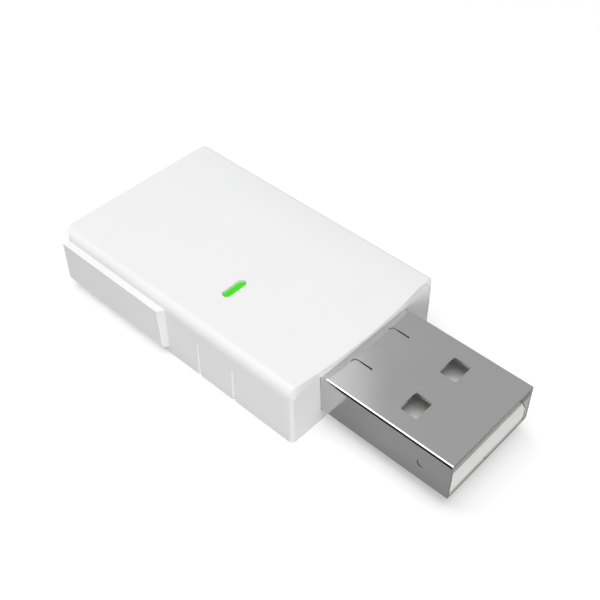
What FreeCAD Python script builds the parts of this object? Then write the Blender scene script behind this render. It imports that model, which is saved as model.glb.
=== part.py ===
import FreeCAD, Part
import math
import os
from FreeCAD import Vector

# A stick-shaped wireless gateway: moulded housing, side key, lit slot on top and folded metal plug.
# Frame, in millimetres: +X towards the plug, +Y away from the key side, +Z up,
# with the origin at the middle of the housing's underside.

# how far joined forms run into each other, and how far a cutting form reaches past what it cuts
weld = 0.2
spare = 1.0

# housing
housing_length = 32.3
housing_width = 20.3
housing_height = 6.75
side_wall = 1.1
top_wall = 1.1
base_below_plug = 0.25
base_clearance = 0.05
near_edge_radius = 1.0
far_edge_radius = 0.5
crown_width = 3.7
crown_drop = 0.22
corner_back_near = 1.7
corner_back_far = 0.55
corner_front_far = 0.95
corner_front_near = 0.5
inner_corner = 0.5

# plug end of the housing: a nearly flat end face under a bowed lip, and a shallow panel on each side
front_bow = 0.35
top_bow = 0.83
middle_bow = 0.02
foot_bow = 0.03
top_setback = 0.65
middle_setback = 0.1
lip_height = 0.85
panel_depth = 0.2
panel_rim = 0.65
panel_top_drop = 0.15
panel_corner = 0.8

# fine grooves on the key side, deeper and wider towards the bottom
groove_insets = (12.2, 7.55)
groove_top = 4.4
groove_width_top = 0.2
groove_width_bottom = 0.42
groove_depth_top = 0.12
groove_depth_bottom = 0.3

# lit slot in the top
slot_from_front = 13.2
slot_from_near = 5.98
slot_length = 2.9
slot_width = 0.95
slot_depth = 0.38
pipe_clearance = 0.05
pipe_flange_border = 0.65
pipe_flange_thickness = 0.6
pipe_stem_length = 1.8
pipe_stem_width = 0.85
pipe_gap_to_lamp = 0.25

# side key
key_from_back = 0.88
key_length = 14.87
key_proud = 0.6
key_low = 0.95
key_face_drop = 1.03
key_top_drop = 0.75
key_plate_inset = 0.2
key_bevel_low = 0.35
key_bevel_top = 0.65
key_low_chamfer = 0.15
key_travel = 0.25
key_end_gap = 0.05
key_clearance = 0.06
key_top_clearance = 0.02
key_leg_inset = 2.7
key_leg_width = 1.2
key_leg_height = 1.6
key_barb_reach = 0.35
key_barb_thickness = 0.55
key_stem_radius = 0.9

# side-acting switch behind the key
switch_length = 4.2
switch_depth = 2.6
switch_height = 1.9
plunger_length = 1.1
plunger_rear = 0.6
plunger_width = 2.0
plunger_height = 1.0
plunger_z = 0.95
plunger_clearance = 0.05
switch_corner = 0.2
lug_reach = 0.5
lug_inset = 0.6
lug_thickness = 0.2

# plug
plug_width = 12.0
plug_height = 4.5
plug_exposed = 14.2
plug_inside = 5.2
plug_above_middle = 0.225
plug_offset = -0.25
plug_sheet = 0.3
plug_bend_radius = 0.25
plug_inner_radius = 0.06
plug_clearance = 0.015
plug_relief = 0.3
window_from_housing = 8.0
window_spacing = 5.6
window_length = 1.85
window_width = 2.35
lance_from_housing = 0.45
lance_length = 2.1
lance_side = 2.65
lance_tongue = 1.0
lance_slit = 0.16
lance_corner = 0.5
lance_hook = 0.1
lance_curl = 0.25
crescent_from_housing = 11.2
crescent_lift = 2.3
crescent_radius = 0.42
crescent_shift = 0.16
seam_width = 0.06
seam_tab_depth = 0.9
seam_tab_neck = 2.2
seam_tab_head = 2.8
seam_tab_from_housing = 3.4
plug_tab_length = 2.5
plug_tab_height = 3.0
plug_tab_clearance = 0.05

# insulator block and the four contact strips
block_height = 1.63
block_setback = 0.15
block_chamfer = 0.35
block_head_length = 3.4
block_head_reach = 1.0
block_rear_gap = 0.4
block_step_from_tip = 5.9
block_step_height = 0.4
block_clearance = 0.05
contact_pitches = (-3.5, -1.0, 1.0, 3.5)
contact_names = ("contact_ground", "contact_data_plus", "contact_data_minus", "contact_vbus")
contact_width = 1.0
contact_thickness = 0.25
contact_proud = 0.15
contact_tip_outer = 1.3
contact_tip_inner = 2.3
contact_tail = 2.4
contact_bend_gap = 0.05
contact_clearance = 0.02

# circuit board
board_thickness = 1.0
board_above_plug = 1.65
board_end_gap = 0.65
board_side_gap = 1.0
board_notch_depth = 1.9
board_notch_reach = 1.0
board_corner = 0.6
board_gap_to_plug = 0.1
post_radius = 1.2
pin_radius = 0.6
pin_clearance = 0.05
pin_above_board = 0.3
post_back_inset = 1.6
post_front_inset = 4.25
post_side_inset = 1.5
hold_down_length = 0.8
hold_down_width = 1.6
hold_down_back_inset = 1.0
hold_down_front_inset = 2.85
hold_down_side_inset = 0.9
hold_down_gap = 0.05

# rib of the base that carries the rear of the plug
cradle_from_rear = 0.6
cradle_thickness = 1.0
cradle_inset = 1.0

# snap catches on the base, each in a pocket of the cover's wall
catch_end_inset = 7.15
catch_length = 4.0
catch_thickness = 0.8
catch_height = 2.9
catch_nose = 0.3
catch_nose_height = 0.7
catch_clearance = 0.05

# parts on the board: length along X, width along Y and height
chip_size = (5.0, 5.0, 0.9)
chip_dot_radius = 0.3
chip_dot_depth = 0.06
chip_dot_inset = 0.8
memory_size = (4.9, 3.9, 1.5)
crystal_size = (3.2, 2.5, 0.8)
crystal_plate = 0.3
crystal_lid_inset = 0.15
crystal_lid_corner = 0.3
antenna_size = (2.0, 5.2, 1.1)
regulator_size = (1.6, 2.9, 1.1)
protector_size = (1.6, 2.9, 1.1)
bead_size = (2.0, 1.25, 0.9)
bead_cap_length = 0.5
lamp_size = (0.8, 1.6, 0.6)
lamp_end_length = 0.25
capacitor_size = (1.0, 0.5, 0.5)
resistor_size = (1.0, 0.5, 0.35)
small_cap_length = 0.25
cap_skin = 0.02
body_standoff = 0.1
lead_width = 0.4
lead_thickness = 0.15
lead_shoulder = 0.25
lead_knee = 0.33
lead_reach = 0.55
lead_level = 0.55

# middle of each part: share of the board's length from its back edge, share of its half width
chip_place = (0.53, 0.282)
memory_place = (0.238, 0.41)
crystal_place = (0.507, -0.359)
antenna_place = (0.0475, -0.05)
regulator_place = (0.776, 0.436)
protector_place = (0.824, -0.026)
bead_place = (0.816, -0.41)
capacitor_places = (
    (0.385, 0.564),
    (0.385, 0.282),
    (0.385, 0),
    (0.68, 0.564),
    (0.68, 0.026),
    (0.685, 0.769),
)
resistor_places = (
    (0.372, -0.282),
    (0.372, -0.154),
    (0.689, -0.231),
    (0.689, -0.82),
)

half_length = housing_length / 2
half_width = housing_width / 2
inner_ceiling = housing_height - top_wall
front_inner = half_length - middle_setback - panel_depth - side_wall
wall_inner_near = -half_width + side_wall
slot_x = half_length - slot_from_front
slot_y = -half_width + slot_from_near
key_back = -half_length + key_from_back
key_front = key_back + key_length
key_face = -half_width - key_proud
key_seat = -half_width + key_plate_inset
key_pocket_floor = key_seat + key_travel + key_end_gap
key_face_top = housing_height - key_face_drop
key_top = housing_height - key_top_drop
key_leg_z = (key_low + key_top) / 2
key_leg_places = (key_back + key_leg_inset, key_front - key_leg_inset)
switch_x = (key_back + key_front) / 2
plug_low = (housing_height - plug_height) / 2 + plug_above_middle
base_thickness = plug_low - base_below_plug
plug_top = plug_low + plug_height
plug_tip = half_length + plug_exposed
plug_rear = half_length - plug_inside
block_top = plug_low + plug_sheet + block_height
contact_low = block_top - contact_thickness + contact_proud
board_top = plug_low + board_above_plug
board_low = board_top - board_thickness
board_front = plug_rear - board_gap_to_plug
board_back = -half_length + side_wall + board_end_gap
board_far = half_width - side_wall - board_side_gap
board_near = -board_far
board_notch_near = board_near + board_notch_depth
board_notch_end = key_front + board_notch_reach
post_far = board_far - post_side_inset
post_places = (
    (board_back + post_back_inset, post_far),
    (board_back + post_back_inset, board_notch_near + post_side_inset),
    (board_front - post_front_inset, post_far),
    (board_front - post_front_inset, -post_far),
)
hold_down_places = (
    (board_back + hold_down_back_inset, board_far / 2),
    (board_front - hold_down_front_inset, board_far - hold_down_side_inset),
)
catch_back = -half_length + catch_end_inset
catch_front = half_length - catch_end_inset
catch_places = ((catch_back, 1), (catch_front, 1), (catch_front, -1))


def on_plan(height):
    return lambda u, v: Vector(u, v, height)


def on_section(station):
    return lambda u, v: Vector(station, u, v)


def on_side(offset):
    return lambda u, v: Vector(u, offset, v)


def box(x_low, x_high, y_low, y_high, z_low, z_high):
    return Part.makeBox(x_high - x_low, y_high - y_low, z_high - z_low, Vector(x_low, y_low, z_low))


def outline(corners, place):
    """Closed wire through corners (u, v, radius), each corner turned by an arc of its own radius."""
    count = len(corners)
    starts = []
    ends = []
    middles = []
    for index in range(count):
        u, v, radius = corners[index]
        here = Vector(u, v, 0)
        back = Vector(corners[index - 1][0], corners[index - 1][1], 0) - here
        ahead = Vector(corners[(index + 1) % count][0], corners[(index + 1) % count][1], 0) - here
        back.normalize()
        ahead.normalize()
        half_angle = back.getAngle(ahead) / 2
        reach = radius / math.tan(half_angle)
        starts.append(here + back * reach)
        ends.append(here + ahead * reach)
        bisector = back + ahead
        bisector.normalize()
        middles.append(here + bisector * (radius / math.sin(half_angle) - radius))
    edges = []
    for index in range(count):
        first = place(starts[index].x, starts[index].y)
        last = place(ends[index].x, ends[index].y)
        if corners[index][2] > 0:
            middle = place(middles[index].x, middles[index].y)
            edges.append(Part.Arc(first, middle, last).toShape())
        following = place(starts[(index + 1) % count].x, starts[(index + 1) % count].y)
        if last.distanceToPoint(following) > 1e-6:
            edges.append(Part.makeLine(last, following))
    return Part.Wire(edges)


def prism(corners, place, direction):
    return Part.Face(outline(corners, place)).extrude(direction)


def rectangle(u_low, u_high, v_low, v_high, radius=0.0):
    return (
        (u_low, v_low, radius),
        (u_high, v_low, radius),
        (u_high, v_high, radius),
        (u_low, v_high, radius),
    )


def stadium(x_middle, y_middle, length, width, z_low, z_high):
    """Upright bar with round ends, its length along Y."""
    u_low = x_middle - width / 2
    v_low = y_middle - length / 2
    corners = rectangle(u_low, u_low + width, v_low, v_low + length, width / 2 - 1e-4)
    return prism(corners, on_plan(z_low), Vector(0, 0, z_high - z_low))


def housing_section():
    """Cross-section of the housing: a soft near edge, a flat top and a crown that falls to the far edge."""
    near = -half_width
    top = housing_height
    crown_radius = (crown_width ** 2 + crown_drop ** 2) / (2 * crown_drop)
    crown_start = half_width - crown_width
    tilt = math.asin((crown_width - far_edge_radius) / (crown_radius - far_edge_radius))
    crown_centre = Vector(0, crown_start, top - crown_radius)

    def crown_point(angle, radius):
        return crown_centre + Vector(0, radius * math.sin(angle), radius * math.cos(angle))

    far_centre = crown_point(tilt, crown_radius - far_edge_radius)
    far_angle = (tilt + math.pi / 2) / 2
    far_middle = far_centre + Vector(0, math.sin(far_angle), math.cos(far_angle)) * far_edge_radius
    far_end = far_centre + Vector(0, far_edge_radius, 0)
    near_centre = Vector(0, near + near_edge_radius, top - near_edge_radius)
    near_middle = near_centre + Vector(0, -math.sqrt(0.5), math.sqrt(0.5)) * near_edge_radius
    near_start = near_centre + Vector(0, -near_edge_radius, 0)
    near_end = near_centre + Vector(0, 0, near_edge_radius)
    crown_first = crown_point(0, crown_radius)
    crown_last = crown_point(tilt, crown_radius)
    edges = [
        Part.makeLine(Vector(0, near, 0), near_start),
        Part.Arc(near_start, near_middle, near_end).toShape(),
        Part.makeLine(near_end, crown_first),
        Part.Arc(crown_first, crown_point(tilt / 2, crown_radius), crown_last).toShape(),
        Part.Arc(crown_last, far_middle, far_end).toShape(),
        Part.makeLine(far_end, Vector(0, half_width, 0)),
        Part.makeLine(Vector(0, half_width, 0), Vector(0, near, 0)),
    ]
    return Part.Face(Part.Wire(edges))


def corner_arc(x_corner, y_corner, x_side, y_side, radius):
    """Quarter arc of a plan corner, from the end on the long side to the end on the short side."""
    centre = Vector(x_corner - x_side * radius, y_corner - y_side * radius, 0)
    on_long = centre + Vector(0, y_side * radius, 0)
    on_short = centre + Vector(x_side * radius, 0, 0)
    middle = centre + Vector(x_side, y_side, 0) * (radius * math.sqrt(0.5))
    return on_long, middle, on_short


def housing_plan():
    """Plan of the housing, with its own radius at each corner and a bowed plug end."""
    front_near = corner_arc(half_length, -half_width, 1, -1, corner_front_near)
    front_far = corner_arc(half_length, half_width, 1, 1, corner_front_far)
    back_far = corner_arc(-half_length, half_width, -1, 1, corner_back_far)
    back_near = corner_arc(-half_length, -half_width, -1, -1, corner_back_near)
    bow_middle = Vector(half_length + front_bow, 0, 0)
    edges = [
        Part.Arc(*front_near).toShape(),
        Part.Arc(front_near[2], bow_middle, front_far[2]).toShape(),
        Part.Arc(front_far[2], front_far[1], front_far[0]).toShape(),
        Part.makeLine(front_far[0], back_far[0]),
        Part.Arc(*back_far).toShape(),
        Part.makeLine(back_far[2], back_near[2]),
        Part.Arc(back_near[2], back_near[1], back_near[0]).toShape(),
        Part.makeLine(back_near[0], front_near[0]),
    ]
    return Part.Face(Part.Wire(edges))


def housing_form():
    section = housing_section()
    section.translate(Vector(-half_length - spare, 0, 0))
    along = section.extrude(Vector(housing_length + front_bow + 2 * spare, 0, 0))
    upright = housing_plan().extrude(Vector(0, 0, housing_height))
    return along.common(upright).cut(space_before_end(0))


def inner_plan(gap, z_low, z_high):
    """Upright solid that fills the space between the walls, less a gap all round."""
    x_low = -half_length + side_wall + gap
    x_high = front_inner - gap
    y_high = half_width - side_wall - gap
    corners = (
        (x_low, -y_high, corner_back_near - side_wall),
        (x_high, -y_high, inner_corner),
        (x_high, y_high, inner_corner),
        (x_low, y_high, inner_corner),
    )
    return prism(corners, on_plan(z_low), Vector(0, 0, z_high - z_low))


def space_before(station, bow, height):
    """Outline, at one height, of the space in front of an end face that bows by the given amount."""
    foot = Vector(station, -half_width, height)
    head = Vector(station, half_width, height)
    face = Part.BezierCurve()
    face.setPoles([foot, Vector(station + 2 * bow, 0, height), head])
    reach = half_length + front_bow + spare
    outer_foot = Vector(reach, -half_width, height)
    outer_head = Vector(reach, half_width, height)
    edges = [
        face.toShape(),
        Part.makeLine(head, outer_head),
        Part.makeLine(outer_head, outer_foot),
        Part.makeLine(outer_foot, foot),
    ]
    return Part.Wire(edges)


def space_before_end(back):
    """Space in front of the end face: a nearly flat face below, and a lip that bows out over it above.

    Above the foot, the face can be moved back by a given amount.
    """
    overrun = 1.5
    middle = half_length - middle_setback - back
    top = middle + overrun * (middle_setback - top_setback)
    top_spread = middle_bow + overrun * (top_bow - middle_bow)
    wires = (
        space_before(half_length - foot_bow, foot_bow, 0),
        space_before(middle, middle_bow, housing_height - lip_height),
        space_before(top, top_spread, housing_height + (overrun - 1) * lip_height),
    )
    return Part.makeLoft(list(wires), True, True)


def end_panel(side):
    """Shallow recess of the end face between the rim of a long side and the plug."""
    y_rim = side * (half_width - panel_rim)
    y_plug = plug_offset + side * (plug_width / 2 + plug_clearance)
    corners = (
        (y_rim, 0, 0),
        (y_plug, 0, 0),
        (y_plug, housing_height - panel_top_drop, 0),
        (y_rim, housing_height - panel_top_drop, panel_corner),
    )
    reach = front_bow + top_setback + panel_depth + 2 * spare
    x_rear = half_length - top_setback - panel_depth - spare
    opening = prism(corners, on_section(x_rear), Vector(reach, 0, 0))
    return opening.common(space_before_end(panel_depth))


def at_plug(shape):
    """The shape moved sideways to the plug, which stands a little nearer to the key side."""
    moved = shape.copy()
    moved.translate(Vector(0, plug_offset, 0))
    return moved


def plug_notch(gap):
    """Notch of the end wall, open at the bottom, and the relief under the top for the plug's rear."""
    half = plug_width / 2 + gap
    x_high = half_length + front_bow + spare
    return box(plug_rear - plug_relief, x_high, -half, half, 0, plug_top + gap)


def groove(station):
    def triangle(width, depth, height):
        outside = -half_width - spare
        points = [
            Vector(station - width / 2, outside, height),
            Vector(station + width / 2, outside, height),
            Vector(station + width / 2, -half_width, height),
            Vector(station, -half_width + depth, height),
            Vector(station - width / 2, -half_width, height),
        ]
        return Part.makePolygon(points + points[:1])

    low = triangle(groove_width_bottom, groove_depth_bottom, 0)
    high = triangle(groove_width_top, groove_depth_top, groove_top)
    return Part.makeLoft([low, high], True, True)


def key_section(grow, grow_top, seat):
    """Side view of the key's plate: flat face, a slope above it and a small chamfer below."""
    corners = [
        (seat, key_low - grow, 0),
        (key_face + key_low_chamfer, key_low - grow, 0),
        (key_face, key_low - grow + key_low_chamfer, 0),
        (key_face, key_face_top + grow_top, 0),
        (key_seat, key_top + grow_top, 0),
    ]
    if seat > key_seat:
        corners.append((seat, key_top + grow_top, 0))
    return corners


def key_pocket():
    corners = key_section(key_clearance, key_top_clearance, key_pocket_floor)
    reach = key_front - key_back + 2 * key_clearance
    return prism(corners, on_section(key_back - key_clearance), Vector(reach, 0, 0))


def key_leg(station, grow, y_low, y_high):
    half = key_leg_width / 2 + grow
    tall = key_leg_height / 2 + grow
    return box(station - half, station + half, y_low, y_high, key_leg_z - tall, key_leg_z + tall)


def key_stem(grow, y_low, y_high):
    middle = Vector(switch_x, y_low, board_top + plunger_z)
    return Part.makeCylinder(key_stem_radius + grow, y_high - y_low, middle, Vector(0, 1, 0))


def catch_nose_solid(station, side, grow):
    """Wedge on a catch that snaps into the wall: flat below the pocket's upper edge, sloped above."""
    y_wall = half_width - side_wall
    z_low = catch_height - catch_nose_height
    corners = (
        (side * (y_wall - weld), z_low - grow, 0),
        (side * (y_wall + catch_nose + grow), z_low - grow, 0),
        (side * (y_wall + catch_nose + grow), z_low + catch_nose_height / 3 + grow, 0),
        (side * (y_wall - weld), catch_height + grow, 0),
    )
    reach = catch_length + 2 * grow
    return prism(corners, on_section(station - reach / 2), Vector(reach, 0, 0))


def hold_down(place):
    x, y = place
    half_long = hold_down_length / 2
    half_wide = hold_down_width / 2
    return box(x - half_long, x + half_long, y - half_wide, y + half_wide,
               board_top + hold_down_gap, inner_ceiling + weld)


def cover():
    body = housing_form()
    body = body.cut(inner_plan(0, 0, inner_ceiling))
    for place in hold_down_places:
        body = body.fuse(hold_down(place))
    for side in (-1, 1):
        body = body.cut(end_panel(side))
    body = body.cut(at_plug(plug_notch(plug_clearance)))
    slot = stadium(slot_x, slot_y, slot_length, slot_width, inner_ceiling - spare, housing_height + spare)
    body = body.cut(slot)
    body = body.cut(key_pocket())
    for station in key_leg_places:
        body = body.cut(key_leg(station, key_clearance, -half_width - spare, wall_inner_near + spare))
    body = body.cut(key_stem(key_clearance, -half_width - spare, wall_inner_near + spare))
    for station, side in catch_places:
        body = body.cut(catch_nose_solid(station, side, catch_clearance))
    for inset in groove_insets:
        body = body.cut(groove(half_length - inset))
    return body.removeSplitter()


def base():
    body = inner_plan(base_clearance, 0, base_thickness)
    half = plug_width / 2
    bridge_rear = front_inner - base_clearance - weld
    bridge = box(bridge_rear, half_length + spare, -half, half, 0, plug_low - base_clearance)
    body = body.fuse(at_plug(bridge).cut(space_before_end(0)))
    cradle_rear = plug_rear + cradle_from_rear
    cradle_half = plug_width / 2 - cradle_inset
    cradle = box(cradle_rear, cradle_rear + cradle_thickness, -cradle_half, cradle_half, 0, plug_low)
    body = body.fuse(at_plug(cradle))
    for station, side in catch_places:
        y_wall = half_width - side_wall - catch_clearance
        y_ends = sorted((side * y_wall, side * (y_wall - catch_thickness)))
        x_low = station - catch_length / 2
        stem = box(x_low, x_low + catch_length, y_ends[0], y_ends[1], 0, catch_height)
        body = body.fuse(stem).fuse(catch_nose_solid(station, side, 0))
    for x, y in post_places:
        body = body.fuse(Part.makeCylinder(post_radius, board_low, Vector(x, y, 0)))
        body = body.fuse(Part.makeCylinder(pin_radius, board_top + pin_above_board, Vector(x, y, 0)))
    return body.removeSplitter()


def side_key():
    corners = key_section(0, 0, key_seat)
    plate = prism(corners, on_section(key_back), Vector(key_front - key_back, 0, 0))

    def bevel_triangle(bevel, height):
        points = [
            Vector(key_front - bevel, key_face, height),
            Vector(key_front, -half_width, height),
            Vector(key_front + spare, -half_width, height),
            Vector(key_front + spare, key_face - spare, height),
            Vector(key_front - bevel, key_face - spare, height),
        ]
        return Part.makePolygon(points + points[:1])

    low_triangle = bevel_triangle(key_bevel_low, key_low - weld)
    high_triangle = bevel_triangle(key_bevel_top, key_top + weld)
    body = plate.cut(Part.makeLoft([low_triangle, high_triangle], True, True))
    for station in key_leg_places:
        body = body.fuse(key_leg(station, 0, key_seat - weld, wall_inner_near + key_barb_thickness))
        outward = math.copysign(1, station - switch_x)
        x_ends = sorted((station, station + outward * (key_leg_width / 2 + key_barb_reach)))
        low = key_leg_z - key_leg_height / 2
        barb = box(x_ends[0], x_ends[1], wall_inner_near, wall_inner_near + key_barb_thickness,
                   low, low + key_leg_height)
        body = body.fuse(barb)
    plunger_face = board_notch_near - plunger_length
    body = body.fuse(key_stem(0, key_seat - weld, plunger_face))
    return body.removeSplitter()


def light_pipe():
    narrow = 2 * pipe_clearance
    window = stadium(slot_x, slot_y, slot_length - narrow, slot_width - narrow,
                     inner_ceiling - weld, housing_height - slot_depth)
    border = 2 * pipe_flange_border
    flange = stadium(slot_x, slot_y, slot_length + border, slot_width + border,
                     inner_ceiling - pipe_flange_thickness, inner_ceiling)
    lamp_top = board_top + lamp_size[2]
    stem = stadium(slot_x, slot_y, pipe_stem_length, pipe_stem_width,
                   lamp_top + pipe_gap_to_lamp, inner_ceiling - pipe_flange_thickness / 2)
    return window.fuse(flange).fuse(stem).removeSplitter()


def tube_section(inset, radius):
    half = plug_width / 2 - inset
    return rectangle(-half, half, plug_low + inset, plug_top - inset, radius)


def lance(side):
    """Hook-shaped slit on the far side of a small tongue, round its free end towards the housing."""
    x_free = half_length + lance_from_housing
    x_root = x_free + lance_length
    y_far = side * lance_side + lance_tongue / 2
    y_near = y_far - lance_corner - lance_hook
    inner = lance_corner - lance_slit
    centre = Vector(x_free + lance_corner, y_far - lance_corner, 0)
    z_low = plug_top - plug_sheet - weld
    diagonal = Vector(-1, 1, 0) * math.sqrt(0.5)
    outer_start = Vector(x_free, y_near, 0)
    outer_turn = Vector(x_free, centre.y, 0)
    outer_end = Vector(centre.x, y_far, 0)
    outer_tip = Vector(x_root, y_far, 0)
    curl_tip = Vector(x_root + lance_hook, y_far - lance_curl, 0)
    inner_tip = Vector(x_root, y_far - lance_slit, 0)
    inner_end = Vector(centre.x, y_far - lance_slit, 0)
    inner_turn = Vector(x_free + lance_slit, centre.y, 0)
    inner_start = Vector(x_free + lance_slit, y_near, 0)
    edges = [
        Part.makeLine(outer_start, outer_turn),
        Part.Arc(outer_turn, centre + diagonal * lance_corner, outer_end).toShape(),
        Part.makeLine(outer_end, outer_tip),
        Part.makeLine(outer_tip, curl_tip),
        Part.makeLine(curl_tip, inner_tip),
        Part.makeLine(inner_tip, inner_end),
        Part.Arc(inner_end, centre + diagonal * inner, inner_turn).toShape(),
        Part.makeLine(inner_turn, inner_start),
        Part.makeLine(inner_start, outer_start),
    ]
    face = Part.Face(Part.Wire(edges))
    face.translate(Vector(0, 0, z_low))
    return face.extrude(Vector(0, 0, plug_sheet + spare))


def crescent(side):
    """Crescent-shaped cut in a side of the shell: a round punch less a second one set off from it."""
    y_low = min(side * (plug_width / 2 - plug_sheet - weld), side * (plug_width / 2 + spare))
    reach = plug_sheet + weld + spare
    x = half_length + crescent_from_housing
    z = plug_low + crescent_lift
    shift = crescent_shift * math.sqrt(0.5)
    outer = Part.makeCylinder(crescent_radius, reach, Vector(x, y_low, z), Vector(0, 1, 0))
    inner = Part.makeCylinder(crescent_radius, reach, Vector(x + shift, y_low, z + shift), Vector(0, 1, 0))
    return outer.cut(inner)


def seam():
    """Fine slit along the underside where the folded sheet meets, with one dovetail in it."""
    x_tab = half_length + seam_tab_from_housing
    y_tab = seam_tab_depth / 2
    path = (
        (plug_rear - spare, -y_tab),
        (x_tab - seam_tab_neck / 2, -y_tab),
        (x_tab - seam_tab_head / 2, y_tab),
        (x_tab + seam_tab_head / 2, y_tab),
        (x_tab + seam_tab_neck / 2, -y_tab),
        (plug_tip + spare, -y_tab),
    )
    cut = None
    for first, last in zip(path, path[1:]):
        start = Vector(first[0], first[1], 0)
        run = Vector(last[0], last[1], 0) - start
        piece = Part.makeBox(run.Length + seam_width, seam_width, plug_sheet + spare + weld)
        piece.translate(Vector(-seam_width / 2, -seam_width / 2, plug_low - spare))
        piece.rotate(Vector(0, 0, 0), Vector(0, 0, 1), math.degrees(math.atan2(run.y, run.x)))
        piece.translate(start)
        cut = cut.fuse(piece) if cut else piece
    return cut


def plug_shell():
    length = plug_tip - plug_rear
    outside = prism(tube_section(0, plug_bend_radius), on_section(plug_rear), Vector(length, 0, 0))
    inside = prism(tube_section(plug_sheet, plug_inner_radius), on_section(plug_rear - spare),
                   Vector(length + 2 * spare, 0, 0))
    body = outside.cut(inside)
    for side in (-1, 1):
        x_window = half_length + window_from_housing - window_length / 2
        y_window = side * window_spacing / 2 - window_width / 2
        for z_sheet in (plug_low, plug_top - plug_sheet):
            window = box(x_window, x_window + window_length, y_window, y_window + window_width,
                         z_sheet - weld, z_sheet + plug_sheet + weld)
            body = body.cut(window)
        body = body.cut(lance(side))
        body = body.cut(crescent(side))
        y_tab = sorted((side * plug_width / 2, side * (plug_width / 2 - plug_sheet)))
        middle = plug_low + plug_height / 2
        tab = box(plug_rear - plug_tab_length, plug_rear + weld, y_tab[0], y_tab[1],
                  middle - plug_tab_height / 2, middle + plug_tab_height / 2)
        body = body.fuse(tab)
    return body.cut(seam()).removeSplitter()


def contact(index, grow=0.0):
    """Strip along the top of the block, joggled down behind it to lie on the board."""
    pitch = contact_pitches[index]
    outer = abs(pitch) == max(contact_pitches)
    tip = plug_tip - (contact_tip_outer if outer else contact_tip_inner)
    tail = board_front - contact_tail
    bend = board_front + contact_bend_gap
    drop = contact_low - board_top
    turn = contact_thickness - contact_clearance
    corners = (
        (tip + grow, contact_low - grow, 0),
        (tip + grow, contact_low + contact_thickness + grow, 0),
        (bend + drop, contact_low + contact_thickness + grow, 0),
        (bend - turn, board_top + contact_thickness + grow, 0),
        (tail, board_top + contact_thickness + grow, 0),
        (tail, board_top, 0),
        (bend, board_top, 0),
        (bend + drop + turn, contact_low - grow, 0),
    )
    half = contact_width / 2 + grow
    return prism(corners, on_side(pitch - half), Vector(0, 2 * half, 0))


def plug_insulator():
    low = plug_low + plug_sheet
    top = block_top
    front = plug_tip - block_setback
    half = plug_width / 2 - plug_sheet - block_clearance
    edge = plug_inner_radius + block_clearance
    tongue_section = ((-half, low, edge), (half, low, edge), (half, top, 0), (-half, top, 0))
    tongue_rear = plug_rear + block_rear_gap
    tongue = prism(tongue_section, on_section(tongue_rear), Vector(front - tongue_rear, 0, 0))
    chamfer_corners = (
        (front, top - block_chamfer, 0),
        (front + spare, top - block_chamfer, 0),
        (front + spare, top + spare, 0),
        (front - block_chamfer, top + spare, 0),
        (front - block_chamfer, top, 0),
    )
    tongue = tongue.cut(prism(chamfer_corners, on_side(-half), Vector(0, 2 * half, 0)))
    head_section = rectangle(-half, half, low, plug_top - plug_sheet - block_clearance, edge)
    head_rear = half_length - block_head_length
    head = prism(head_section, on_section(head_rear), Vector(block_head_length + block_head_reach, 0, 0))
    step_front = plug_tip - block_step_from_tip
    step = box(tongue_rear, step_front, -half, half, top - weld, top + block_step_height)
    body = tongue.fuse(step).fuse(head)
    for index in range(len(contact_pitches)):
        body = body.cut(contact(index, contact_clearance))
    return body.removeSplitter()


def board_point(place):
    along, across = place
    return board_back + along * (board_front - board_back), across * board_far


def on_board(size, point, lift=0.0):
    length, width, height = size
    x_low = point[0] - length / 2
    y_low = point[1] - width / 2
    z_low = board_top + lift
    return box(x_low, x_low + length, y_low, y_low + width, z_low, z_low + height)


def leaded_package(size, place, counts, along_x):
    """Moulded body on gull-wing leads; counts gives the leads on the low side and on the high side."""
    length, width, height = size
    point = board_point(place)
    body = on_board((length, width, height - body_standoff), point, body_standoff)
    long_side = length if along_x else width
    half_across = (width if along_x else length) / 2
    level = height * lead_level
    for side, count in zip((-1, 1), counts):
        pitch = long_side / count
        profile = (
            (side * (half_across - weld), level, 0),
            (side * (half_across + lead_shoulder), level, 0),
            (side * (half_across + lead_knee), lead_thickness, 0),
            (side * (half_across + lead_reach), lead_thickness, 0),
            (side * (half_across + lead_reach), 0, 0),
            (side * (half_across + lead_knee - lead_thickness), 0, 0),
            (side * (half_across + lead_shoulder - lead_thickness), level - lead_thickness, 0),
            (side * (half_across - weld), level - lead_thickness, 0),
        )
        for index in range(count):
            start = (index - (count - 1) / 2) * pitch - lead_width / 2
            if along_x:
                lead = prism(profile, on_section(start), Vector(lead_width, 0, 0))
            else:
                lead = prism(profile, on_side(start), Vector(0, lead_width, 0))
            lead.translate(Vector(point[0], point[1], board_top))
            body = body.fuse(lead)
    return body.removeSplitter()


def wireless_chip():
    x, y = board_point(chip_place)
    x_dot = x - chip_size[0] / 2 + chip_dot_inset
    y_dot = y + chip_size[1] / 2 - chip_dot_inset
    z_dot = board_top + chip_size[2] - chip_dot_depth
    dot = Part.makeCylinder(chip_dot_radius, spare, Vector(x_dot, y_dot, z_dot))
    return on_board(chip_size, (x, y)).cut(dot)


def crystal():
    x, y = board_point(crystal_place)
    plate = on_board((crystal_size[0], crystal_size[1], crystal_plate), (x, y))
    half_long = crystal_size[0] / 2 - crystal_lid_inset
    half_wide = crystal_size[1] / 2 - crystal_lid_inset
    lid_corners = rectangle(x - half_long, x + half_long, y - half_wide, y + half_wide, crystal_lid_corner)
    lid_low = crystal_plate / 2
    lid = prism(lid_corners, on_plan(board_top + lid_low), Vector(0, 0, crystal_size[2] - lid_low))
    return plate.fuse(lid).removeSplitter()


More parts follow.
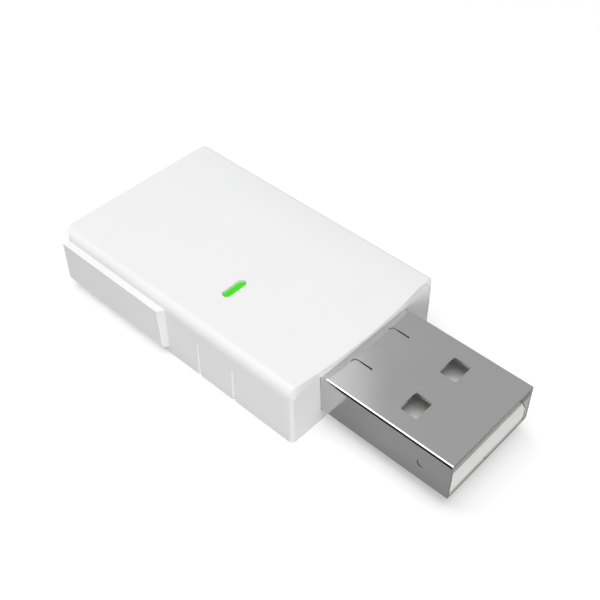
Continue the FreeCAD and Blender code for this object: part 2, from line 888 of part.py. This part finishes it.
def end_capped(size, place, cap):
    """Small ceramic part whose two metal ends stand a little proud of its middle."""
    length, width, height = size
    x, y = board_point(place)
    body = on_board((length, width - 2 * cap_skin, height - cap_skin), (x, y))
    for side in (-1, 1):
        body = body.fuse(on_board((cap, width, height), (x + side * (length - cap) / 2, y)))
    return body.removeSplitter()


def status_led():
    length, width, height = lamp_size
    plate = on_board((length, width, height / 2), (slot_x, slot_y))
    lens = on_board((length, width - 2 * lamp_end_length, height), (slot_x, slot_y))
    return plate.fuse(lens).removeSplitter()


def plunger_solid(grow, y_low, y_high):
    half = plunger_width / 2 + grow
    tall = plunger_height / 2 + grow
    z = board_top + plunger_z
    return box(switch_x - half, switch_x + half, y_low, y_high, z - tall, z + tall)


def switch_body():
    y_low = board_notch_near
    y_high = y_low + switch_depth
    x_low = switch_x - switch_length / 2
    corners = rectangle(x_low, x_low + switch_length, y_low, y_high, switch_corner)
    body = prism(corners, on_plan(board_top), Vector(0, 0, switch_height))
    pocket_end = y_low + plunger_rear + key_travel + key_end_gap
    body = body.cut(plunger_solid(plunger_clearance, y_low - spare, pocket_end))
    for side in (-1, 1):
        lug_x = switch_x + side * switch_length / 2
        x_ends = sorted((lug_x - side * weld, lug_x + side * lug_reach))
        lug = box(x_ends[0], x_ends[1], y_low + lug_inset, y_high - lug_inset,
                  board_top, board_top + lug_thickness)
        body = body.fuse(lug)
    return body.removeSplitter()


def switch_plunger():
    return plunger_solid(0, board_notch_near - plunger_length, board_notch_near + plunger_rear)


def circuit_board():
    corners = (
        (board_back, board_notch_near, board_corner),
        (board_notch_end, board_notch_near, board_corner),
        (board_notch_end, board_near, board_corner),
        (board_front, board_near, board_corner),
        (board_front, board_far, board_corner),
        (board_back, board_far, board_corner),
    )
    body = prism(corners, on_plan(board_low), Vector(0, 0, board_thickness))
    for x, y in post_places:
        body = body.cut(Part.makeCylinder(pin_radius + pin_clearance, board_top + spare, Vector(x, y, 0)))
    for side in (-1, 1):
        gap = plug_tab_clearance
        y_slot = sorted((side * (plug_width / 2 + gap), side * (plug_width / 2 - plug_sheet - gap)))
        x_rear = plug_rear - plug_tab_length - gap
        slot = box(x_rear, plug_rear + spare, y_slot[0], y_slot[1], 0, board_top + spare)
        body = body.cut(at_plug(slot))
    return body.removeSplitter()


def all_parts():
    parts = {
        "cover": cover(),
        "base": base(),
        "side_key": side_key(),
        "light_pipe": light_pipe(),
        "plug_shell": at_plug(plug_shell()),
        "plug_insulator": at_plug(plug_insulator()),
        "circuit_board": circuit_board(),
        "wireless_chip": wireless_chip(),
        "memory_chip": leaded_package(memory_size, memory_place, (4, 4), True),
        "crystal": crystal(),
        "chip_antenna": on_board(antenna_size, board_point(antenna_place)),
        "voltage_regulator": leaded_package(regulator_size, regulator_place, (1, 2), False),
        "surge_protector": leaded_package(protector_size, protector_place, (3, 3), False),
        "ferrite_bead": end_capped(bead_size, bead_place, bead_cap_length),
        "status_led": status_led(),
        "switch_body": switch_body(),
        "switch_plunger": switch_plunger(),
    }
    for index, name in enumerate(contact_names):
        parts[name] = at_plug(contact(index))
    for number, place in enumerate(capacitor_places, 1):
        parts["capacitor_%d" % number] = end_capped(capacitor_size, place, small_cap_length)
    for number, place in enumerate(resistor_places, 1):
        parts["resistor_%d" % number] = end_capped(resistor_size, place, small_cap_length)
    return parts


os.makedirs("parts", exist_ok=True)
for node, shape in all_parts().items():
    shape.exportStep("parts/%s.step" % node)
    print(node, "solids", len(shape.Solids), "valid", shape.isValid(), "volume", round(shape.Volume, 3))
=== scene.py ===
import bmesh
import bpy
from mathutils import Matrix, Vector

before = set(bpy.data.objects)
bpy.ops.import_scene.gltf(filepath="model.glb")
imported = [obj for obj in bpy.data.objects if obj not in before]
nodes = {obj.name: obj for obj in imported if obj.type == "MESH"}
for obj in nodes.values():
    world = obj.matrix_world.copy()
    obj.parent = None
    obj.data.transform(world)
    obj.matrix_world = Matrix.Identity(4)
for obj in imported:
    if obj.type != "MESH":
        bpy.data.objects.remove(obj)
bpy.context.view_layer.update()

mm = 0.001
white = (1, 1, 1, 1)
print("frame loaded with", len(nodes), "solids")

for leftover in ("Cube", "Light", "Camera"):
    if leftover in bpy.data.objects:
        bpy.data.objects.remove(bpy.data.objects[leftover])


def hexColour(code):
    channels = [int(code[i:i + 2], 16) / 255 for i in (0, 2, 4)]
    return (*[c / 12.92 if c <= 0.04045 else ((c + 0.055) / 1.055) ** 2.4 for c in channels], 1.0)


def addNode(tree, kind, inputs, **options):
    # an input given as (node, "socket") is linked, any other value is set
    node = tree.nodes.new(kind)
    for name, value in options.items():
        setattr(node, name, value)
    for name, value in inputs.items():
        socket = node.inputs[name]
        if isinstance(value, tuple) and isinstance(value[0], bpy.types.Node):
            tree.links.new(value[0].outputs[value[1]], socket)
        else:
            socket.default_value = value
    return node


def newMaterial(name, **settings):
    # Base_Color stands for the socket Base Color
    material = bpy.data.materials.new(name)
    material.use_nodes = True
    shader = material.node_tree.nodes["Principled BSDF"]
    for label, value in settings.items():
        shader.inputs[label.replace("_", " ")].default_value = value
    return material, material.node_tree, shader


def dress(material, *names):
    for name in names:
        for place in nodes[name].material_slots:
            place.material = material


# Injection-moulded ABS, white, from a tool with a fine spark-eroded face: satin, with a soft broad highlight.
# The real grain is about 0.05 mm, drawn coarser so that it shows
housingPlastic = {"colour": "F3F3F3", "shade": "EFEFEF", "roughness": 0.46, "ior": 1.54,
                  "grain": 0.22 * mm, "bump": 0.35, "relief": 0.004 * mm,
                  "flow": 6 * mm, "flowGloss": 0.05}  # slow change of gloss where the melt cooled unevenly
keyPlastic = {"colour": "F1F1F1", "roughness": 0.42}


def mouldedAbs(name, colour, roughness):
    material, tree, shader = newMaterial(name, IOR=housingPlastic["ior"])
    place = addNode(tree, "ShaderNodeTexCoord", {})
    grain = addNode(tree, "ShaderNodeTexNoise", {"Vector": (place, "Object"), "Scale": 1 / housingPlastic["grain"],
                                                 "Detail": 2.0})
    flow = addNode(tree, "ShaderNodeTexNoise", {"Vector": (place, "Object"), "Scale": 1 / housingPlastic["flow"],
                                                "Detail": 2.0})
    gloss = addNode(tree, "ShaderNodeMapRange", {"Value": (flow, "Fac"),
                                                 "To Min": roughness - housingPlastic["flowGloss"],
                                                 "To Max": roughness + housingPlastic["flowGloss"]})
    tone = addNode(tree, "ShaderNodeMix", {"Factor": (flow, "Fac"), "A": hexColour(colour),
                                           "B": hexColour(housingPlastic["shade"])}, data_type="RGBA")
    bump = addNode(tree, "ShaderNodeBump", {"Height": (grain, "Fac"), "Strength": housingPlastic["bump"],
                                            "Distance": housingPlastic["relief"]})
    tree.links.new(gloss.outputs["Result"], shader.inputs["Roughness"])
    tree.links.new(tone.outputs["Result"], shader.inputs["Base Color"])
    tree.links.new(bump.outputs["Normal"], shader.inputs["Normal"])
    return material


dress(mouldedAbs("mouldedAbsHousing", housingPlastic["colour"], housingPlastic["roughness"]), "cover", "base")
dress(mouldedAbs("mouldedAbsKey", **keyPlastic), "side_key")

# Clear polycarbonate light pipe, tinted and lit green from below: the colour is in its glow
pipe = {"colour": "0A5A0C", "roughness": 0.4, "ior": 1.585, "specular": 0.2,
        "glow": "46D800", "glowDeep": "36CA00", "strength": 1.0, "cloud": 0.8 * mm}
material, tree, shader = newMaterial("litPolycarbonatePipe", Base_Color=hexColour(pipe["colour"]),
                                     Roughness=pipe["roughness"], IOR=pipe["ior"],
                                     Specular_IOR_Level=pipe["specular"], Emission_Strength=pipe["strength"])
place = addNode(tree, "ShaderNodeTexCoord", {})
cloud = addNode(tree, "ShaderNodeTexNoise", {"Vector": (place, "Object"), "Scale": 1 / pipe["cloud"], "Detail": 1.0})
glow = addNode(tree, "ShaderNodeMix", {"Factor": (cloud, "Fac"), "A": hexColour(pipe["glow"]),
                                       "B": hexColour(pipe["glowDeep"])}, data_type="RGBA")
tree.links.new(glow.outputs["Result"], shader.inputs["Emission Color"])
dress(material, "light_pipe")

# Folded steel sheet, bright nickel plated: a clear but soft mirror with fine rolling lines along the plug.
# Real rolling lines are about 0.01 mm wide, drawn coarser so that they show
steel = {"colour": "CCCCCC", "bright": 0.08, "dull": 0.18, "smear": 4 * mm,  # least and most roughness, in smears
         "line": 0.05 * mm, "length": 3 * mm, "bump": 0.3, "relief": 0.0006 * mm}
material, tree, shader = newMaterial("nickelPlatedSteel", Metallic=1.0, Base_Color=hexColour(steel["colour"]))
place = addNode(tree, "ShaderNodeTexCoord", {})
along = addNode(tree, "ShaderNodeMapping", {"Vector": (place, "Object"),
                                            "Scale": (1 / steel["length"], 1 / steel["line"], 1 / steel["line"])})
lines = addNode(tree, "ShaderNodeTexNoise", {"Vector": (along, "Vector"), "Scale": 1.0, "Detail": 3.0})
smears = addNode(tree, "ShaderNodeTexNoise", {"Vector": (place, "Object"), "Scale": 1 / steel["smear"], "Detail": 4.0})
film = addNode(tree, "ShaderNodeMapRange", {"Value": (smears, "Fac"), "To Min": steel["bright"],
                                            "To Max": steel["dull"]})
bump = addNode(tree, "ShaderNodeBump", {"Height": (lines, "Fac"), "Strength": steel["bump"],
                                        "Distance": steel["relief"]})
tree.links.new(film.outputs["Result"], shader.inputs["Roughness"])
tree.links.new(bump.outputs["Normal"], shader.inputs["Normal"])
dress(material, "plug_shell")

# Glass-filled PBT block of the plug, moulded: white, a little duller and rougher than the housing.
# Real fibres are about 0.01 mm thick, drawn coarser so that they show
block = {"colour": "EDEDEB", "pale": "F4F4F2", "smooth": 0.45, "dull": 0.6, "ior": 1.55,
         "fibre": 0.2 * mm, "bump": 0.3, "relief": 0.003 * mm}
material, tree, shader = newMaterial("filledPbtWhite", IOR=block["ior"])
place = addNode(tree, "ShaderNodeTexCoord", {})
fibres = addNode(tree, "ShaderNodeTexNoise", {"Vector": (place, "Object"), "Scale": 1 / block["fibre"], "Detail": 3.0})
dull = addNode(tree, "ShaderNodeMapRange", {"Value": (fibres, "Fac"), "To Min": block["smooth"],
                                            "To Max": block["dull"]})
tone = addNode(tree, "ShaderNodeMix", {"Factor": (fibres, "Fac"), "A": hexColour(block["colour"]),
                                       "B": hexColour(block["pale"])}, data_type="RGBA")
bump = addNode(tree, "ShaderNodeBump", {"Height": (fibres, "Fac"), "Strength": block["bump"],
                                        "Distance": block["relief"]})
tree.links.new(dull.outputs["Result"], shader.inputs["Roughness"])
tree.links.new(tone.outputs["Result"], shader.inputs["Base Color"])
tree.links.new(bump.outputs["Normal"], shader.inputs["Normal"])
dress(material, "plug_insulator")
print("outer materials done")

boardFinish = {"ior": 1.5, "bump": 0.3, "relief": 0.003 * mm, "tin": "C9C9C4", "tinRoughness": 0.3}


# Parts inside: a moulded or fired body, with tinned ends where the part has them.
# ends: axis of the row of leads or caps, and the share of the part's length that they take
def boardPart(name, colours, roughness, grain, ends=None, metallic=0.0):
    material, tree, shader = newMaterial(name, IOR=boardFinish["ior"], Roughness=roughness, Metallic=metallic)
    place = addNode(tree, "ShaderNodeTexCoord", {})
    speck = addNode(tree, "ShaderNodeTexNoise", {"Vector": (place, "Object"), "Scale": 1 / grain, "Detail": 3.0})
    tone = addNode(tree, "ShaderNodeMix", {"Factor": (speck, "Fac"), "A": hexColour(colours[0]),
                                           "B": hexColour(colours[1])}, data_type="RGBA")
    bump = addNode(tree, "ShaderNodeBump", {"Height": (speck, "Fac"), "Strength": boardFinish["bump"],
                                            "Distance": boardFinish["relief"]})
    tree.links.new(bump.outputs["Normal"], shader.inputs["Normal"])
    colour = tone
    if ends:
        axis, share = ends
        apart = addNode(tree, "ShaderNodeSeparateXYZ", {"Vector": (place, "Generated")})
        offset = addNode(tree, "ShaderNodeMath", {0: (apart, axis), 1: 0.5}, operation="SUBTRACT")
        reach = addNode(tree, "ShaderNodeMath", {0: (offset, "Value")}, operation="ABSOLUTE")
        tinned = addNode(tree, "ShaderNodeMath", {0: (reach, "Value"), 1: 0.5 - share}, operation="GREATER_THAN")
        colour = addNode(tree, "ShaderNodeMix", {"Factor": (tinned, "Value"), "A": (tone, "Result"),
                                                 "B": hexColour(boardFinish["tin"])}, data_type="RGBA")
        shine = addNode(tree, "ShaderNodeMapRange", {"Value": (tinned, "Value"), "To Min": roughness,
                                                     "To Max": boardFinish["tinRoughness"]})
        tree.links.new(tinned.outputs["Value"], shader.inputs["Metallic"])
        tree.links.new(shine.outputs["Result"], shader.inputs["Roughness"])
    tree.links.new(colour.outputs["Result"], shader.inputs["Base Color"])
    return material


def numbered(word, count):
    return [f"{word}_{number}" for number in range(1, count + 1)]


dress(boardPart("goldFlashedBronze", ("E3C27A", "D8B366"), 0.25, 0.3 * mm, metallic=1.0),
      "contact_vbus", "contact_data_minus", "contact_data_plus", "contact_ground")
dress(boardPart("solderMaskedLaminate", ("0E4A2B", "12552F"), 0.35, 0.6 * mm), "circuit_board")
dress(boardPart("epoxyChip", ("26272A", "1E1F21"), 0.55, 0.08 * mm), "wireless_chip")
dress(boardPart("epoxyChipTopLeads", ("26272A", "1E1F21"), 0.55, 0.08 * mm, ("Y", 0.11)), "memory_chip")
dress(boardPart("epoxyChipSideLeads", ("26272A", "1E1F21"), 0.55, 0.08 * mm, ("X", 0.2)),
      "voltage_regulator", "surge_protector")
dress(boardPart("kovarCan", ("C4C3BE", "B9B8B2"), 0.3, 0.3 * mm, metallic=1.0), "crystal")
dress(boardPart("antennaCeramic", ("D9DEE4", "CFD5DC"), 0.5, 0.1 * mm, ("Y", 0.1)), "chip_antenna")
dress(boardPart("firedFerrite", ("3A3A3C", "303032"), 0.6, 0.06 * mm, ("X", 0.25)), "ferrite_bead")
dress(boardPart("capacitorCeramic", ("A98C66", "9C7F5B"), 0.5, 0.05 * mm, ("X", 0.25)), *numbered("capacitor", 6))
dress(boardPart("resistorGlaze", ("1B1B1E", "141416"), 0.25, 0.05 * mm, ("X", 0.25)), *numbered("resistor", 4))
dress(boardPart("lampResin", ("D8F2D6", "CDEBCB"), 0.2, 0.2 * mm, ("Y", 0.15)), "status_led")
dress(boardPart("switchNylon", ("232326", "1B1B1D"), 0.55, 0.1 * mm), "switch_body")
dress(boardPart("plungerNylon", ("D6D5CC", "CCCBC1"), 0.5, 0.1 * mm), "switch_plunger")
print("inner materials done")


def flatSheet(name, size, place):
    form = bmesh.new()
    bmesh.ops.create_grid(form, x_segments=1, y_segments=1, size=0.5)
    bmesh.ops.scale(form, vec=(*size, 1), verts=form.verts)
    sheet = bpy.data.meshes.new(name)
    form.to_mesh(sheet)
    form.free()
    piece = bpy.data.objects.new(name, sheet)
    piece.location = place
    bpy.context.collection.objects.link(piece)
    return piece


def turnTo(piece, aim, axis):
    piece.rotation_euler = (Vector(aim) - piece.location).to_track_quat(axis, "Y").to_euler()


# 1 for what the camera, metal and glass see of the backdrop, 0 for the light that it throws on the object
def seenDirectly(tree):
    path = addNode(tree, "ShaderNodeLightPath", {})
    seen = (path, "Is Camera Ray")
    for ray in ("Is Glossy Ray", "Is Transmission Ray"):
        seen = (addNode(tree, "ShaderNodeMath", {0: seen, 1: (path, ray)}, operation="MAXIMUM"), "Value")
    return seen


# Pale paper floor. Near the object it glows a little and keeps the shadow, farther off it turns white as the wall is
floor = {"colour": "E2E2E2", "size": (2.0, 2.0), "drop": 0.01 * mm,
         "glow": 0.34, "glowReach": 0.1, "whiteFrom": 0.35}
material, tree, shader = newMaterial("floorPaper", Roughness=0.9, Base_Color=hexColour(floor["colour"]),
                                     Specular_IOR_Level=0.0, Emission_Color=white)
place = addNode(tree, "ShaderNodeTexCoord", {})
away = addNode(tree, "ShaderNodeVectorMath", {0: (place, "Object")}, operation="LENGTH")
rise = addNode(tree, "ShaderNodeMapRange", {"Value": (away, "Value"), "From Min": floor["glowReach"],
                                            "From Max": floor["whiteFrom"], "To Min": floor["glow"]})
glow = addNode(tree, "ShaderNodeMath", {0: seenDirectly(tree), 1: (rise, "Result")}, operation="MULTIPLY")
tree.links.new(glow.outputs["Value"], shader.inputs["Emission Strength"])
flatSheet("floor", floor["size"], (0, 0, -floor["drop"])).data.materials.append(material)

# White wall all round, which lights the object only a little
wall = {"light": 0.15}
world = bpy.data.worlds.new("surround")
bpy.context.scene.world = world
world.use_nodes = True
tree = world.node_tree
level = addNode(tree, "ShaderNodeMapRange", {"Value": seenDirectly(tree), "To Min": wall["light"]})
background = tree.nodes["Background"]
background.inputs["Color"].default_value = white
tree.links.new(level.outputs["Result"], background.inputs["Strength"])

# Painted reflections for the metal's tones, from cards and mats that only reflections show: the glowing grey card
# above the far side paints the plug's top, the grey mat paints the darker reflection on its sides, and the two black
# ones paint the dark line beside the bright edge. The mats lie just above the floor
blackCard = {"place": (-0.055, -0.2, 0.2), "aim": (-0.055, 0, 0.2), "size": (0.15, 0.4), "colour": "080808"}
blackMat = {"place": (-0.035, -0.11, -0.003 * mm), "aim": (-0.035, -0.11, 1), "size": (0.14, 0.18), "colour": "080808"}
greyCard = {"place": (-0.2, 0.235, 0.3), "aim": (0.02, 0, 0), "size": (0.6, 0.6), "colour": "000000", "glow": 0.54}
greyMat = {"place": (0, 0, -0.005 * mm), "aim": (0, 0, 1), "size": (0.3, 0.3), "colour": "AAAAAA"}


# A card or mat that only the gloss shows, a painted reflection: the camera, diffuse light and shadows pass through it
def paintedReflectionCard(name, place, aim, size, colour, glow=0.0):
    piece = flatSheet(name, size, place)
    turnTo(piece, aim, "Z")
    for ray in ("camera", "diffuse", "shadow", "transmission"):
        setattr(piece, "visible_" + ray, False)
    piece.data.materials.append(newMaterial(name, Roughness=0.95, Base_Color=hexColour(colour), Specular_IOR_Level=0.0,
                                            Emission_Color=white, Emission_Strength=glow)[0])


paintedReflectionCard("blackCard", **blackCard)
paintedReflectionCard("blackMat", **blackMat)
paintedReflectionCard("greyCard", **greyCard)
paintedReflectionCard("greyMat", **greyMat)

# A wide soft box overhead, a low fill from the right and a dim lamp behind
overheadLamp = {"place": (-0.03, -0.02, 0.33), "aim": (-0.03, -0.02, 0), "size": (0.5, 0.3), "power": 1.15}
fillLamp = {"place": (0.233, -0.182, 0.075), "aim": (0.007, 0, 0), "size": (0.14, 0.12), "power": 0.37,
            "inGloss": False}  # its mirror image would blot out the metal as seen from behind
backLamp = {"place": (-0.215, 0.137, 0.236), "aim": (0.02, 0, 0), "size": (0.18, 0.18), "power": 0.046}


def softLamp(name, place, aim, size, power, inGloss=True):
    lamp = bpy.data.lights.new(name, "AREA")
    lamp.shape = "RECTANGLE"
    lamp.size, lamp.size_y = size
    lamp.energy = power
    piece = bpy.data.objects.new(name, lamp)
    piece.location = place
    turnTo(piece, aim, "-Z")
    piece.visible_glossy = inGloss
    bpy.context.collection.objects.link(piece)


softLamp("overheadLamp", **overheadLamp)
softLamp("fillLamp", **fillLamp)
softLamp("backLamp", **backLamp)

camera = {"place": (0.05333, -0.04924, 0.07179), "aim": (-0.01004, 0.01905, -0.02039),
          "lens": 58.839, "sensor": 36, "sees": (0.001, 10)}
view = bpy.data.cameras.new("photoCamera")
view.lens = camera["lens"]
view.sensor_width = camera["sensor"]
view.clip_start, view.clip_end = camera["sees"]
eye = bpy.data.objects.new("photoCamera", view)
eye.location = camera["place"]
turnTo(eye, camera["aim"], "-Z")
bpy.context.collection.objects.link(eye)
bpy.context.scene.camera = eye
bpy.context.scene.view_settings.view_transform = "Standard"
print("studio done")
